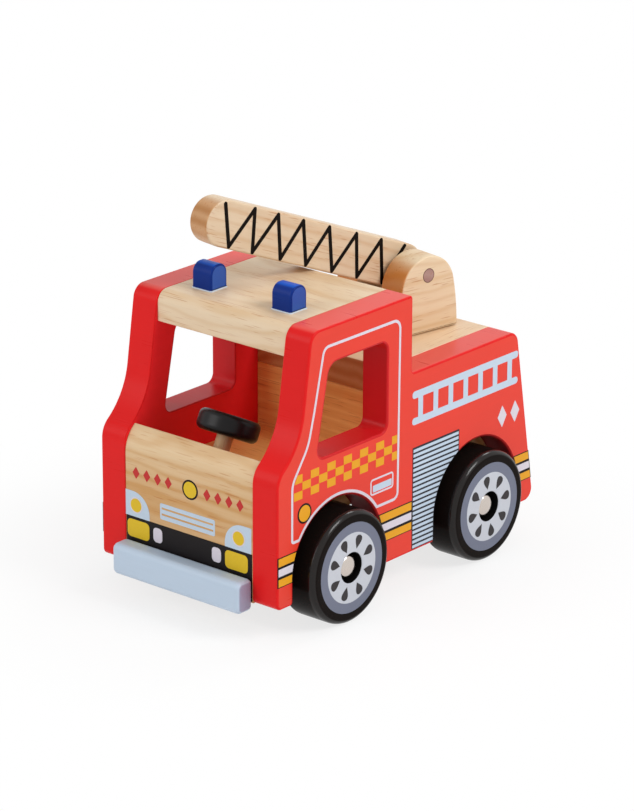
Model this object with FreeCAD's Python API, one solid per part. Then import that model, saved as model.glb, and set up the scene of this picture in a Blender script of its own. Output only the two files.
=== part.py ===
# A wooden toy fire engine: two sawn side panels with the boards between them,
# four turned wheels, and a turret on the rear deck that carries a raised boom.
# Millimetres. +X is the vehicle's left, -Y is forward and +Z is up. The origin is
# on the floor, under the middle of the overall length and width.
import math
import os

import FreeCAD
import Part
from FreeCAD import Vector

# Pieces are drawn with y measured back from the front edge of the side panels
# and z measured up from their bottom edge, then moved together to the origin.

# Boards
board = 12.0                # thickness of every sawn board
body_width = 87.2           # over the two side panels
edge_ease = 0.8             # width of the sanded arris of a panel
small_ease = 0.5            # the same on the turret, the boom and the beacons

# Side panel outline, as the corners of its straight lines
panel_foot_round = 2.5
nose_height = 51.0          # where the front edge would meet the bonnet slope
nose_round = 9.0
bonnet_length = 12.75       # from there back to where the slope would meet the pillar
bonnet_rise = 10.75
scuttle_round = 30.0
pillar_lean = 8.5           # degrees, backwards
roof_z = 102.7
roof_front_round = 5.5
cab_rear_y = 77.0
cab_rear_round = 1.5
deck_z = 72.2
step_round = 1.5
rear_foot_y = 153.8         # where the sloping rear would meet the bottom edge
rear_lean = 9.74            # degrees, forwards
rear_top_round = 5.0
rear_foot_round = 4.5

# Side window
window_sill_z = 53.0
window_header = 14.4        # from the window's head up to the roof
pillar_width = 10.7         # in front of the window, at its sill
window_front_lean = 11.6    # degrees, backwards
rear_post = 14.7            # behind the window
window_round = 3.5
window_front_round = 5.5

# Wheels, axles and arches
wheel_radius = 22.0
wheel_width = 16.0
wheel_out = 6.7             # how far the wheel stands out of the side panel
wheel_bevel = 1.8           # outer edge of the tread
hub_mouth_radius = 6.0
hub_mouth_depth = 5.5
axle_z = 8.7
front_axle_y = 34.4
rear_axle_y = 116.8
arch_gap = 3.4              # between the tread and the arch, beside the axle
arch_rise = 0.8             # the arch is struck from a little above the axle
arch_foot_round = 1.5
axle_radius = 2.0
cap_radius = 4.8
cap_height = 4.6
cap_bevel = 1.8
block_length = 24.0
block_below_axle = 7.0

# Boards between the panels
nose_recess = 0.3
nose_thickness = 6.0        # a thinner sheet than the boards
nose_board_rise = 3.6       # of its rear edge above nose_height
nose_top_slope = 36.0       # degrees, where the bonnet curve ends
nose_top_round = 12.5
floor_z = 34.7
cab_wall_recess = 1.8       # the wall and the deck start in front of the cab's rear
roof_front_edge_round = 5.0

# Bumper and beacons
bumper_depth = 8.0          # in front of the side panels
bumper_bottom_z = -2.5
bumper_top_z = 10.0
bumper_round = 2.5
beacon_from_panel = 12.1    # from the side panel's inner face to the beacon's middle
beacon_width = 9.4
beacon_length = 9.0
beacon_height = 10.0
beacon_y = 34.5
beacon_top_round = 4.0

# Steering wheel and column
steering_y = 22.8
steering_z = 55.8
steering_rake = 27.0        # degrees the column leans back from upright
steering_radius = 11.9
steering_thickness = 8.1
steering_bevel = 2.0
column_radius = 3.2
column_in_wheel = 4.0
column_in_floor = 6.0

# Turret and boom
turret_y = 120.3
turret_turn = 9.8           # degrees clockwise from straight ahead, seen from above
turret_height = 30.7
ear_half_length = 15.2
ear_head_radius = 13.4
slot_width = 14.1
turret_base = 12.0
pin_z = 23.1                # above the deck
pin_radius = 2.9
boom_height = 18.0
boom_thickness = 10.0
boom_reach = 103.4          # from the pin to the tip
pivot_radius = 3.0
pivot_in_turret = 8.0
pivot_head_radius = 6.0
pivot_head_height = 2.5

# Clearances
running_gap = 0.06          # radial, round a shaft that turns
moving_gap = 0.3            # between faces that move past each other

inner_half = body_width / 2 - board
outer_half = body_width / 2
scuttle_z = nose_height + bonnet_rise
nose_top_z = nose_height + nose_board_rise
window_head_z = roof_z - window_header
cab_wall_y = cab_rear_y - cab_wall_recess
beacon_x = inner_half - beacon_from_panel
rear_slope = math.tan(math.radians(rear_lean))
pillar_slope = math.tan(math.radians(pillar_lean))
window_slope = math.tan(math.radians(window_front_lean))
rear_foot_half_angle = math.radians(90 - rear_lean) / 2
rear_most_y = (rear_foot_y - rear_foot_round / math.tan(rear_foot_half_angle)
               + rear_foot_round)
to_origin = Vector(0, (bumper_depth - rear_most_y) / 2, wheel_radius - axle_z)
wheel_outer_x = outer_half + wheel_out
wheel_inner_x = wheel_outer_x - wheel_width
hub_floor_x = wheel_outer_x - hub_mouth_depth
cap_base_x = hub_floor_x + moving_gap
block_half = wheel_inner_x - moving_gap
axles = {"front": front_axle_y, "rear": rear_axle_y}
sides = {"left": 1, "right": -1}
steering_axis = Vector(0, math.sin(math.radians(steering_rake)),
                       math.cos(math.radians(steering_rake)))
boom_half = boom_height / 2
turret_half = slot_width / 2 + board


def rounded_wire(corners, point):
    """Closed wire through corners (a, b, radius), each rounded by a tangent arc;
    point(a, b) gives the place of a corner."""
    starts, arcs = [], []
    for i, (a, b, radius) in enumerate(corners):
        here = point(a, b)
        before = point(*corners[i - 1][:2]) - here
        after = point(*corners[(i + 1) % len(corners)][:2]) - here
        half = before.getAngle(after) / 2
        before.normalize()
        after.normalize()
        if radius == 0:
            starts.append((here, here))
            arcs.append(None)
            continue
        run = radius / math.tan(half)
        middle = before + after
        middle.normalize()
        top = here + middle * (radius / math.sin(half) - radius)
        starts.append((here + before * run, here + after * run))
        arcs.append(Part.Arc(starts[-1][0], top, starts[-1][1]).toShape())
    edges = []
    for i, (first, last) in enumerate(starts):
        if arcs[i]:
            edges.append(arcs[i])
        following = starts[(i + 1) % len(starts)][0]
        if last.distanceToPoint(following) > 1e-6:
            edges.append(Part.LineSegment(last, following).toShape())
    return Part.Wire(edges)


def across(corners, x0, x1):
    """Plate with an outline in (y, z) corners, from x0 to x1."""
    wire = rounded_wire(corners, lambda y, z: Vector(x0, y, z))
    return Part.Face(wire).extrude(Vector(x1 - x0, 0, 0))


def between_panels(corners):
    """Board that fills the width between the two side panels."""
    return across(corners, -inner_half, inner_half)


def turned(corners, base, axis, outward):
    """Ring turned about an axis through base: corners are (along, radius)."""
    points = [base + axis * along + outward * radius for along, radius in corners]
    return Part.Face(Part.makePolygon(points + points[:1])).revolve(base, axis, 360)


def rod(radius, start, end):
    """Round rod from one centre to the other."""
    way = end - start
    return Part.makeCylinder(radius, way.Length, start, way)


def ease_sides(solid, width, faces, floor=None):
    """Takes the arris off the side faces that lie at the given x, down to a height if
    one is given."""
    def picked(edge):
        box = edge.BoundBox
        on_face = box.XLength < 1e-6 and min(abs(box.XMin - x) for x in faces) < 1e-6
        return on_face and (floor is None or box.ZMax > floor + width)
    return solid.makeChamfer(width, [edge for edge in solid.Edges if picked(edge)])


def rear_line(z):
    """Where the sloping rear of the body lies at height z."""
    return rear_foot_y - rear_slope * z


def tail_line(z):
    """Inner face of the tail board, one board's thickness inside the rear."""
    return rear_line(z) - board / math.cos(math.radians(rear_lean))


def arch_corners(axle_y):
    """Wheel arch: straight sides and a half-round head, front to rear."""
    radius = wheel_radius + arch_gap
    head = axle_z + arch_rise + radius
    return [(axle_y - radius, 0, arch_foot_round), (axle_y - radius, head, radius),
            (axle_y + radius, head, radius), (axle_y + radius, 0, arch_foot_round)]


def pillar_line(z):
    """Front edge of the windscreen pillar at height z."""
    return bonnet_length + pillar_slope * (z - scuttle_z)


def window_line(z):
    """Front edge of the side window at height z."""
    return pillar_line(window_sill_z) + pillar_width + window_slope * (z - window_sill_z)


def side_panel(side):
    """Side panel with its two wheel arches and its window."""
    inner, outer = sorted((side * inner_half, side * outer_half))
    outline = [(0, 0, panel_foot_round), (0, nose_height, nose_round),
               (bonnet_length, scuttle_z, scuttle_round),
               (pillar_line(roof_z), roof_z, roof_front_round),
               (cab_rear_y, roof_z, cab_rear_round), (cab_rear_y, deck_z, step_round),
               (rear_line(deck_z), deck_z, rear_top_round),
               (rear_foot_y, 0, rear_foot_round)]
    for axle_y in sorted(axles.values(), reverse=True):
        outline += reversed(arch_corners(axle_y))
    window = [(window_line(window_sill_z), window_sill_z, window_round),
              (window_line(window_head_z), window_head_z, window_front_round),
              (cab_rear_y - rear_post, window_head_z, window_round),
              (cab_rear_y - rear_post, window_sill_z, window_round)]
    panel = across(outline, inner, outer).cut(across(window, inner, outer))
    return ease_sides(panel, edge_ease, [side * outer_half])


def nose_board():
    """Sheet across the front, curved back at its top like the bonnet."""
    front, rear = nose_recess, nose_recess + nose_thickness
    bend_z = nose_top_z - nose_thickness * math.tan(math.radians(nose_top_slope))
    return between_panels([(front, 0, 0), (front, bend_z, nose_top_round),
                           (rear, nose_top_z, 0), (rear, 0, 0)])


def steering_point(along):
    """Point on the steering column's axis, measured from the wheel's centre."""
    return Vector(0, steering_y, steering_z) + steering_axis * along


def column_rod():
    """Steering column, from its hole in the floor into the steering wheel."""
    foot = (floor_z - steering_z) / steering_axis.z - column_in_floor
    top = column_in_wheel - steering_thickness / 2
    return rod(column_radius, steering_point(foot), steering_point(top))


def chassis_board():
    """Floor of the cab and of the whole body, drilled for the steering column."""
    front, under = nose_recess + nose_thickness, floor_z - board
    floor = between_panels([(front, under, 0), (front, floor_z, 0),
                            (tail_line(floor_z), floor_z, 0), (tail_line(under), under, 0)])
    return floor.cut(column_rod())


def cab_wall():
    """Low wall behind the cab, under the front edge of the deck."""
    top = deck_z - board
    return between_panels([(cab_wall_y, floor_z, 0), (cab_wall_y, top, 0),
                           (cab_wall_y + board, top, 0), (cab_wall_y + board, floor_z, 0)])


def deck_board():
    """Rear deck, with the pivot hole of the turret."""
    under = deck_z - board
    deck = between_panels([(cab_wall_y, under, 0), (cab_wall_y, deck_z, 0),
                           (rear_line(deck_z), deck_z, rear_top_round),
                           (rear_line(under), under, 0)])
    return deck.cut(rod(pivot_radius + running_gap, Vector(0, turret_y, under - board),
                        Vector(0, turret_y, deck_z + board)))


def tail_board():
    """Board that closes the sloping rear, under the deck."""
    top = deck_z - board
    return between_panels([(tail_line(0), 0, 0), (tail_line(top), top, 0),
                           (rear_line(top), top, 0), (rear_foot_y, 0, rear_foot_round)])


def roof_board():
    """Roof between the panels, flush with their tops."""
    under = roof_z - board
    front = pillar_line(roof_z)
    return between_panels([(front, under, 0), (front, roof_z, roof_front_edge_round),
                           (cab_rear_y, roof_z, cab_rear_round),
                           (cab_rear_y, under, 0)])


def axle_block(axle_y):
    """Block under the floor that carries an axle in a drilled hole and, reaching out
    through the arches, keeps the wheels off the panels."""
    low, high = axle_z - block_below_axle, floor_z - board
    front, rear = axle_y - block_length / 2, axle_y + block_length / 2
    block = across([(front, low, 0), (front, high, 0), (rear, high, 0), (rear, low, 0)],
                   -block_half, block_half)
    return block.cut(axle(axle_y))


def axle(axle_y):
    """Steel axle, right across the vehicle to both end caps."""
    return rod(axle_radius, Vector(-cap_base_x, axle_y, axle_z),
               Vector(cap_base_x, axle_y, axle_z))


def axle_cap(side, axle_y):
    """Domed metal cap on the end of an axle, inside the mouth of the hub."""
    base = Vector(side * cap_base_x, axle_y, axle_z)
    profile = [(0, 0), (0, cap_radius), (cap_height - cap_bevel, cap_radius),
               (cap_height, cap_radius - cap_bevel), (cap_height, 0)]
    return turned(profile, base, Vector(side, 0, 0), Vector(0, 0, 1))


def wheel(side, axle_y):
    """Turned wheel with a sunk mouth for the cap."""
    bore = axle_radius + running_gap
    outer, inner = wheel_outer_x, wheel_inner_x
    profile = [(inner, bore), (hub_floor_x, bore), (hub_floor_x, hub_mouth_radius),
               (outer, hub_mouth_radius), (outer, wheel_radius - wheel_bevel),
               (outer - wheel_bevel, wheel_radius), (inner, wheel_radius)]
    return turned(profile, Vector(0, axle_y, axle_z), Vector(side, 0, 0), Vector(0, 0, 1))


def bumper():
    """Painted bar across the nose, between the side panels."""
    front, rear = -bumper_depth, nose_recess
    bar = between_panels([(front, bumper_bottom_z, bumper_round),
                          (front, bumper_top_z, bumper_round),
                          (rear, bumper_top_z, 0), (rear, bumper_bottom_z, 0)])
    return ease_sides(bar, small_ease, [-inner_half, inner_half])


def beacon(side):
    """Block on the roof with a rounded top, as a warning lamp."""
    front, rear = beacon_y - beacon_length / 2, beacon_y + beacon_length / 2
    top = roof_z + beacon_height
    x0, x1 = side * beacon_x - beacon_width / 2, side * beacon_x + beacon_width / 2
    block = across([(front, roof_z, 0), (front, top, beacon_top_round),
                    (rear, top, beacon_top_round), (rear, roof_z, 0)], x0, x1)
    return ease_sides(block, small_ease, [x0, x1], roof_z)


def steering_wheel():
    """Thick round disc on the raked column."""
    half = steering_thickness / 2
    profile = [(-half, 0), (-half, steering_radius - steering_bevel),
               (steering_bevel - half, steering_radius),
               (half - steering_bevel, steering_radius),
               (half, steering_radius - steering_bevel), (half, 0)]
    disc = turned(profile, steering_point(0), steering_axis, Vector(1, 0, 0))
    return disc.cut(column_rod())


def rake_over(edge_y, edge_z, edge_round):
    """Angle above level, in degrees, at which the boom just clears a rounded rear edge
    with the turret straight ahead."""
    back = turret_y - (edge_y - edge_round)
    up = (edge_z - edge_round) - (deck_z + pin_z)
    offset = boom_half + moving_gap + edge_round
    return math.degrees(math.atan2(up, back) + math.asin(offset / math.hypot(back, up)))


def boom_rake():
    """The boom rests over the roof's rear edge, or over a beacon if that stands higher."""
    return max(rake_over(cab_rear_y, roof_z, cab_rear_round),
               rake_over(beacon_y + beacon_length / 2, roof_z + beacon_height,
                         beacon_top_round))


def on_turret(solid):
    """Moves a piece drawn about the swivel axis, with z from the deck, to its place."""
    place = solid.copy()
    place.rotate(Vector(0, 0, 0), Vector(0, 0, 1), -turret_turn)
    place.translate(Vector(0, turret_y, deck_z))
    return place


def pin_rod(radius, half_length):
    """Round bar on the boom's hinge axis, in the turret's own frame."""
    return rod(radius, Vector(-half_length, 0, pin_z), Vector(half_length, 0, pin_z))


def turret_ear(side):
    """Upright cheek of the turret. Each side is one arc that starts upright at the foot
    and runs into the round head without a corner."""
    low, head = moving_gap, turret_height - ear_head_radius
    rise = head - low
    bow = ((ear_half_length ** 2 + rise ** 2 - ear_head_radius ** 2)
           / (2 * (ear_half_length - ear_head_radius)))
    touch = math.atan(rise / (bow - ear_half_length))
    inner, outer = sorted((side * slot_width / 2, side * turret_half))

    def on_bow(way, angle):
        """Point of the rear side (way 1) or the front side (way -1), up from its foot."""
        return Vector(inner, way * (ear_half_length - bow + bow * math.cos(angle)),
                      low + bow * math.sin(angle))

    front, rear = ([on_bow(way, angle) for angle in (0, touch / 2, touch)] for way in (-1, 1))
    wire = Part.Wire([Part.Arc(*front).toShape(),
                      Part.Arc(front[-1], Vector(inner, 0, turret_height), rear[-1]).toShape(),
                      Part.Arc(*reversed(rear)).toShape(),
                      Part.LineSegment(rear[0], front[0]).toShape()])
    ear = Part.Face(wire).extrude(Vector(outer - inner, 0, 0))
    ear = ease_sides(ear, edge_ease, [side * turret_half], low)
    return on_turret(ear.cut(pin_rod(pin_radius, turret_half)))


def turret_base_block():
    """Block between the two cheeks, which makes the floor of the slot."""
    low, high = moving_gap, turret_base
    block = across([(-ear_half_length, low, 0), (-ear_half_length, high, 0),
                    (ear_half_length, high, 0), (ear_half_length, low, 0)],
                   -slot_width / 2, slot_width / 2)
    return on_turret(block.cut(pivot_shank()))


def pivot_shank():
    """Shank of the swivel pin, up into the turret, in the turret's own frame."""
    return rod(pivot_radius, Vector(0, 0, -board - moving_gap), Vector(0, 0, pivot_in_turret))


def turret_pivot():
    """Swivel pin through the deck, with its head under it."""
    under = -board - moving_gap
    head = rod(pivot_head_radius, Vector(0, 0, under - pivot_head_height), Vector(0, 0, under))
    return on_turret(pivot_shank().fuse(head).removeSplitter())


def boom():
    """Straight bar with round ends, raked up over the cab from the hinge pin."""
    rear, front = boom_half, -boom_reach
    x1 = boom_thickness / 2
    bar = across([(front, -boom_half, boom_half), (front, boom_half, boom_half),
                  (rear, boom_half, boom_half), (rear, -boom_half, boom_half)], -x1, x1)
    bar = ease_sides(bar, edge_ease, [-x1, x1])
    bar.rotate(Vector(0, 0, 0), Vector(1, 0, 0), -boom_rake())
    bar.translate(Vector(0, 0, pin_z))
    return on_turret(bar.cut(pin_rod(pin_radius + running_gap, boom_thickness)))


def boom_pin():
    """Dowel through both cheeks and the boom, flush with the cheeks' faces."""
    return on_turret(pin_rod(pin_radius, turret_half))


pieces = {"nose_board": nose_board(), "chassis_board": chassis_board(),
          "cab_wall": cab_wall(), "deck_board": deck_board(), "tail_board": tail_board(),
          "roof_board": roof_board(), "bumper": bumper(),
          "steering_column": column_rod(), "steering_wheel": steering_wheel(),
          "turret_base": turret_base_block(), "turret_pivot": turret_pivot(),
          "boom": boom(), "boom_pin": boom_pin()}
for side_name, side in sides.items():
    pieces["side_panel_" + side_name] = side_panel(side)
    pieces["beacon_" + side_name] = beacon(side)
    pieces["turret_ear_" + side_name] = turret_ear(side)
for axle_name, axle_y in axles.items():
    pieces["axle_block_" + axle_name] = axle_block(axle_y)
    pieces["axle_" + axle_name] = axle(axle_y)
    for side_name, side in sides.items():
        place = axle_name + "_" + side_name
        pieces["wheel_" + place] = wheel(side, axle_y)
        pieces["axle_cap_" + place] = axle_cap(side, axle_y)

os.makedirs("parts", exist_ok=True)
for name, solid in pieces.items():
    solid.translate(to_origin)
    solid.exportStep("parts/" + name + ".step")
    print(name, "%.1f cm3" % (solid.Volume / 1000), "valid" if solid.isValid() else "NOT VALID")
print("boom rake %.2f degrees" % boom_rake())
print("origin moved by", to_origin)
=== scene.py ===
# %% [markdown]
# # The finish of a wooden toy fire engine
# The toy is sawn, drilled and turned wood, painted, printed and lacquered. Its solid
# pieces are already fixed in one frame, in metres: -Y is forward, +X is the vehicle's
# left and +Z is up. This lesson gives them their rounded arrises, their paint, their
# grain and their printed lines, and then lights and frames them.
# The fixed frame is loaded first. The dressed toy may not grow out of it.

# %% The fixed frame
import math

import bmesh
import bpy
import numpy as np
from mathutils import Matrix, Vector
from mathutils.geometry import tessellate_polygon


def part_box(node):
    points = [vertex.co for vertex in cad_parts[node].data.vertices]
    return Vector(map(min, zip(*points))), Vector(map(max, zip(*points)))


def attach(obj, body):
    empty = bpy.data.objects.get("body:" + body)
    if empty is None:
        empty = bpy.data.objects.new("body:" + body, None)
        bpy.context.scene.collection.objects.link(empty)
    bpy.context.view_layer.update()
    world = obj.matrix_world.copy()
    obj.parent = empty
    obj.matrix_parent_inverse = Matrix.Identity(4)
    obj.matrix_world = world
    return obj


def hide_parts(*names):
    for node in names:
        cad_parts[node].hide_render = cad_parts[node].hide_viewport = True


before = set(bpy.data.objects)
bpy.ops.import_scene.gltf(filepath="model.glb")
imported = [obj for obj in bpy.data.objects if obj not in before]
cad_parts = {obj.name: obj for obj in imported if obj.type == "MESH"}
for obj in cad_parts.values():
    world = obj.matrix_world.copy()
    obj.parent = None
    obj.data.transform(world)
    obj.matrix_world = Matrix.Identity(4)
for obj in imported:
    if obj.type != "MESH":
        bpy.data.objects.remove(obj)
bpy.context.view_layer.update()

# %% [markdown]
# ## A maker's drawing in millimetres
# A workshop draws such a toy from the side: y is measured back from the front edge of
# the side panels, and z up from their bottom edge. The sizes below are in that drawing.
# The frame gives most of them, so that a piece lands where the solid is.

# %% Sizes that the frame gives
MM = 0.001
panel_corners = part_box("side_panel_left")
paper_origin = np.array([0, panel_corners[0].y, panel_corners[0].z]) / MM


def drawn_box(node):
    """Lowest and highest corner of a solid, in drawing millimetres."""
    return [np.array(corner) / MM - paper_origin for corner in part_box(node)]


def to_frame(points):
    """Drawing millimetres to frame metres: the drawing's origin is added, then the scale."""
    return (np.asarray(points) + paper_origin) * MM


(inner_x, _, _), (outer_x, _, roof_z) = drawn_box("side_panel_left")
(_, wall_y, under_deck_z), (_, _, deck_z) = drawn_box("deck_board")
(_, nose_y, _), (_, nose_back_y, nose_top_z) = drawn_box("nose_board")
(_, _, floor_under_z), (_, _, floor_z) = drawn_box("chassis_board")
(_, roof_front_y, roof_under_z), (_, cab_rear_y, _) = drawn_box("roof_board")
axle_places = {}
for row in ("front", "rear"):
    low, high = drawn_box("wheel_" + row + "_left")
    axle_places[row] = (low + high) / 2
wheel_inner_x, wheel_outer_x = low[0], high[0]
wheel_radius = (high[2] - low[2]) / 2
sides = {"left": 1, "right": -1}
print("body %.1f wide, %.1f to the roof, wheels %.1f across"
      % (2 * outer_x, roof_z, 2 * wheel_radius))

# %% [markdown]
# ## Outlines
# A sawn board starts as an outline on the wood: straight cuts that meet in round
# corners. One could lay points along it by hand, or place a Bezier curve. Here an
# outline is a short list of corners with their radii, and numpy works out every arc at
# once, so that a corner can be changed by one number.

# %% Round corners by numpy
ARC_STEPS = 14
SUPPORT = 0.12              # flat strip kept beside each arc, which keeps the shading true
SAME_POINT = 0.005


def unit(vectors):
    """Each vector divided by its own length."""
    vectors = np.asarray(vectors, float)
    return vectors / np.maximum(np.linalg.norm(vectors, axis=-1, keepdims=True), 1e-12)


def rounded(corners, steps=ARC_STEPS):
    """Closed outline through corners (a, b, radius). The arc at a corner touches both of
    its sides at radius / tan(half angle) from it, and its centre lies on the bisector at
    radius / sin(half angle). Turning the first spoke about the centre draws the arc."""
    table = np.array(corners, float)
    here, radius = table[:, :2], table[:, 2]
    back, on = np.roll(here, 1, 0) - here, np.roll(here, -1, 0) - here
    length = np.linalg.norm(on, axis=1)
    back, on = unit(back), unit(on)
    half = np.arccos(np.clip((back * on).sum(1), -1, 1)) / 2
    run = radius / np.tan(half)
    spare = np.clip((length - run - np.roll(run, -1)) / 3, 0, SUPPORT)
    centre = here + unit(back + on) * (radius / np.sin(half))[:, None]
    first, last = here + back * run[:, None], here + on * run[:, None]
    turn = np.sign(back[:, 1] * on[:, 0] - back[:, 0] * on[:, 1]) * (math.pi - 2 * half)
    angle = turn[:, None] * np.linspace(0, 1, steps + 1)
    spoke = (first - centre)[:, None, :]
    across_spoke = np.stack([-spoke[..., 1], spoke[..., 0]], -1)
    arcs = (centre[:, None, :] + spoke * np.cos(angle)[..., None]
            + across_spoke * np.sin(angle)[..., None])
    leads = [(first + back * np.roll(spare, 1)[:, None])[:, None],
             arcs, (last + on * spare[:, None])[:, None]]
    points = np.concatenate(leads, axis=1).reshape(-1, 2)
    gap = np.linalg.norm(points - np.roll(points, 1, 0), axis=1)
    return points[gap > SAME_POINT]


def arc_corner(centre, radius, start, end):
    """Corner whose arc runs round a centre from one angle to another, in degrees: it is
    where the two tangents meet, at radius / cos(half the turn) from the centre."""
    middle, half = math.radians((start + end) / 2), math.radians(abs(end - start) / 2)
    reach = radius / math.cos(half)
    return (centre[0] + reach * math.cos(middle), centre[1] + reach * math.sin(middle), radius)


def drawn_in(outline, distances):
    """The outline moved to the left of its travel by each distance: a corner moves along
    the sum of its two side normals, divided by one plus the cosine between them."""
    on = unit(np.roll(outline, -1, 0) - outline)
    normal = np.stack([-on[:, 1], on[:, 0]], 1)
    both = normal + np.roll(normal, 1, 0)
    step = both / np.maximum((both * normal).sum(1), 0.15)[:, None]
    return outline + np.asarray(distances, float)[:, None, None] * step


def left_handed(outline, hole=False):
    """The outline with its material on the left: a loop round the piece runs against the
    clock, a hole with it. The sign of the area tells which way it runs."""
    area = np.sum(outline[:, 0] * np.roll(outline[:, 1], -1)
                  - np.roll(outline[:, 0], -1) * outline[:, 1])
    return outline[::-1] if (area < 0) != hole else outline


def quad(edges, heights, radius, steps=ARC_STEPS):
    """Outline between two edges and two heights. An edge is one number, or a pair where it
    leans: its place at each height. The radius is one number, or four that go round
    against the clock from the lowest corner of the first edge."""
    (left_low, left_high), (right_low, right_high) = (np.broadcast_to(e, 2) for e in edges)
    return rounded(np.column_stack([[left_low, right_low, right_high, left_high],
                                    np.repeat(heights, 2), np.broadcast_to(radius, 4)]), steps)


square = quad((0, 10), (0, 10), 1)
print("a square with four round corners has", len(square), "points")

# %% [markdown]
# ## Boards with a sanded arris
# Every edge of a wooden toy is sanded to a small round, and that round is what catches
# the light. A Bevel modifier could make it, but its width would follow the angles of the
# mesh. Here the arris is part of the formula: the outline is carried across the board,
# and near each face it draws in by a quarter round.

# %% A board from its outline
ARRIS_STEPS = 5


def arris_rows(radius):
    """(drawn in, depth) from the flat of a face to the side: r (1 - sin t), r (1 - cos t)."""
    if radius == 0:
        return np.zeros((1, 2))
    t = np.linspace(0, math.pi / 2, ARRIS_STEPS + 1)
    round_part = radius * np.stack([1 - np.sin(t), 1 - np.cos(t)], 1)
    flat = radius + SUPPORT
    return np.vstack([[flat, 0], round_part, [0, flat]])


def grid_faces(rows, columns, offset=0):
    """Quads between neighbouring rows of a grid whose columns close into a ring."""
    i, k = np.meshgrid(np.arange(columns), np.arange(rows - 1))
    i, k = i.ravel(), k.ravel() * columns
    following = (i + 1) % columns
    return np.stack([k + i, k + following, k + columns + following, k + columns + i], 1) + offset


def board(loops, start, end, arris=(0, 0)):
    """Closed plate between two depths: (points, faces, smooth). A point is (a, b, depth).
    Loops after the first are holes. The side faces are one grid for each loop, and the
    two flat faces are filled with triangles."""
    near, far = arris_rows(arris[0]), arris_rows(arris[1])[::-1]
    inwards = np.concatenate([near[:, 0], far[:, 0]])
    depths = np.concatenate([start + near[:, 1], end - far[:, 1]])
    points, faces, first_rows, count = [], [], [], 0
    for number, loop in enumerate(loops):
        ring = drawn_in(left_handed(loop, hole=number > 0), inwards)
        depth = np.broadcast_to(depths[:, None, None], ring.shape[:2] + (1,))
        points.append(np.concatenate([ring, depth], 2).reshape(-1, 3))
        faces.append(grid_faces(len(depths), len(loop), count))
        first_rows.append(np.arange(len(loop)) + count)
        count += points[-1].shape[0]
    points = np.concatenate(points)
    near_rim = np.concatenate(first_rows)
    far_rim = near_rim + np.concatenate([np.full(len(loop), (len(depths) - 1) * len(loop))
                                         for loop in loops])
    fill = np.array(tessellate_polygon([[Vector((a, b, 0)) for a, b, _ in points[row]]
                                        for row in first_rows]))
    a, b, c = (points[near_rim[fill[:, j]], :2] for j in range(3))
    clockwise = (b - a)[:, 0] * (c - a)[:, 1] < (b - a)[:, 1] * (c - a)[:, 0]
    fill[clockwise] = fill[clockwise][:, ::-1]
    walls = np.concatenate(faces)
    smooth = np.concatenate([np.ones(len(walls), bool), np.zeros(2 * len(fill), bool)])
    return (points, walls.tolist() + near_rim[fill[:, ::-1]].tolist() + far_rim[fill].tolist(),
            smooth)


def tiles(corners, start, end):
    """Many flat four-cornered plates at once: corners is (count, 4, 2), against the clock,
    and each tile is the same six faces, eight points further on."""
    count = len(corners)
    low_and_high = np.empty((count, 2, 4, 3))
    low_and_high[..., :2] = np.asarray(corners, float)[:, None]
    low_and_high[..., 2] = np.array([start, end])[None, :, None]
    six = np.array([[3, 2, 1, 0], [4, 5, 6, 7], [0, 1, 5, 4], [1, 2, 6, 5], [2, 3, 7, 6],
                    [3, 0, 4, 7]])
    faces = six[None] + 8 * np.arange(count)[:, None, None]
    return low_and_high.reshape(-1, 3), faces.reshape(-1, 4).tolist(), np.zeros(6 * count, bool)


def together(shapes):
    """Several shapes as one: each one's face numbers move on by the points before it."""
    points, faces, smooth, count = [], [], [], 0
    for some_points, some_faces, some_smooth in shapes:
        points.append(some_points)
        faces += [[number + count for number in face] for face in some_faces]
        smooth.append(some_smooth)
        count += len(some_points)
    return np.concatenate(points), faces, np.concatenate(smooth)


points, faces, _ = board([square], 0, 2, (0.5, 0.5))
print("a small board:", len(points), "points,", len(faces), "faces")

# %% [markdown]
# ## Turned pieces
# The wheels, the caps, the column and the steering wheel come off a lathe. A lathe turns
# a profile about an axis, and so does the formula. The distance along the profile is
# kept as an attribute, so that the lathe's fine marks can follow the shape.

# %% A turned piece from its profile
TURN_STEPS = 96


def track_of(profile, steps=TURN_STEPS):
    """Distance along the profile for every point of the turned grid: the running sum of
    the lengths of its sides."""
    closed = np.vstack([profile, profile[:1]])
    lengths = np.linalg.norm(np.diff(closed, axis=0), axis=1)
    return np.repeat(np.concatenate([[0], np.cumsum(lengths)]), steps)


def lathed(profile, centre, axis, steps=TURN_STEPS):
    """Surface of revolution. A profile point (along, radius) at turn a lies at
    centre + axis * along + (u cos a + v sin a) * radius, where u and v stand square to
    the axis. The profile closes on itself, at a bore or through the axis."""
    axis = unit(axis)
    u = unit(np.cross(axis, [0.3, 0.5, 0.8]))
    v = np.cross(axis, u)
    turn = np.linspace(0, 2 * math.pi, steps, endpoint=False)
    spokes = np.cos(turn)[:, None] * u + np.sin(turn)[:, None] * v
    closed = np.vstack([profile, profile[:1]])
    points = (np.asarray(centre) + closed[:, None, :1] * axis
              + closed[:, None, 1:] * spokes[None])
    faces = grid_faces(len(closed), steps)
    return points.reshape(-1, 3), faces.tolist(), np.ones(len(faces), bool)


print("one turn is", TURN_STEPS, "steps of", 360 / TURN_STEPS, "degrees")

# %% [markdown]
# ## From numbers to a piece
# Each piece ends the same way: its points go from the drawing to the frame, doubled
# points are merged, the volume tells whether the faces look outwards, and the piece is
# hung on the body that it moves with. The object itself stays at the origin.

# %% Making a piece
MERGE = 1e-7
SHARP = math.radians(33)


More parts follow.
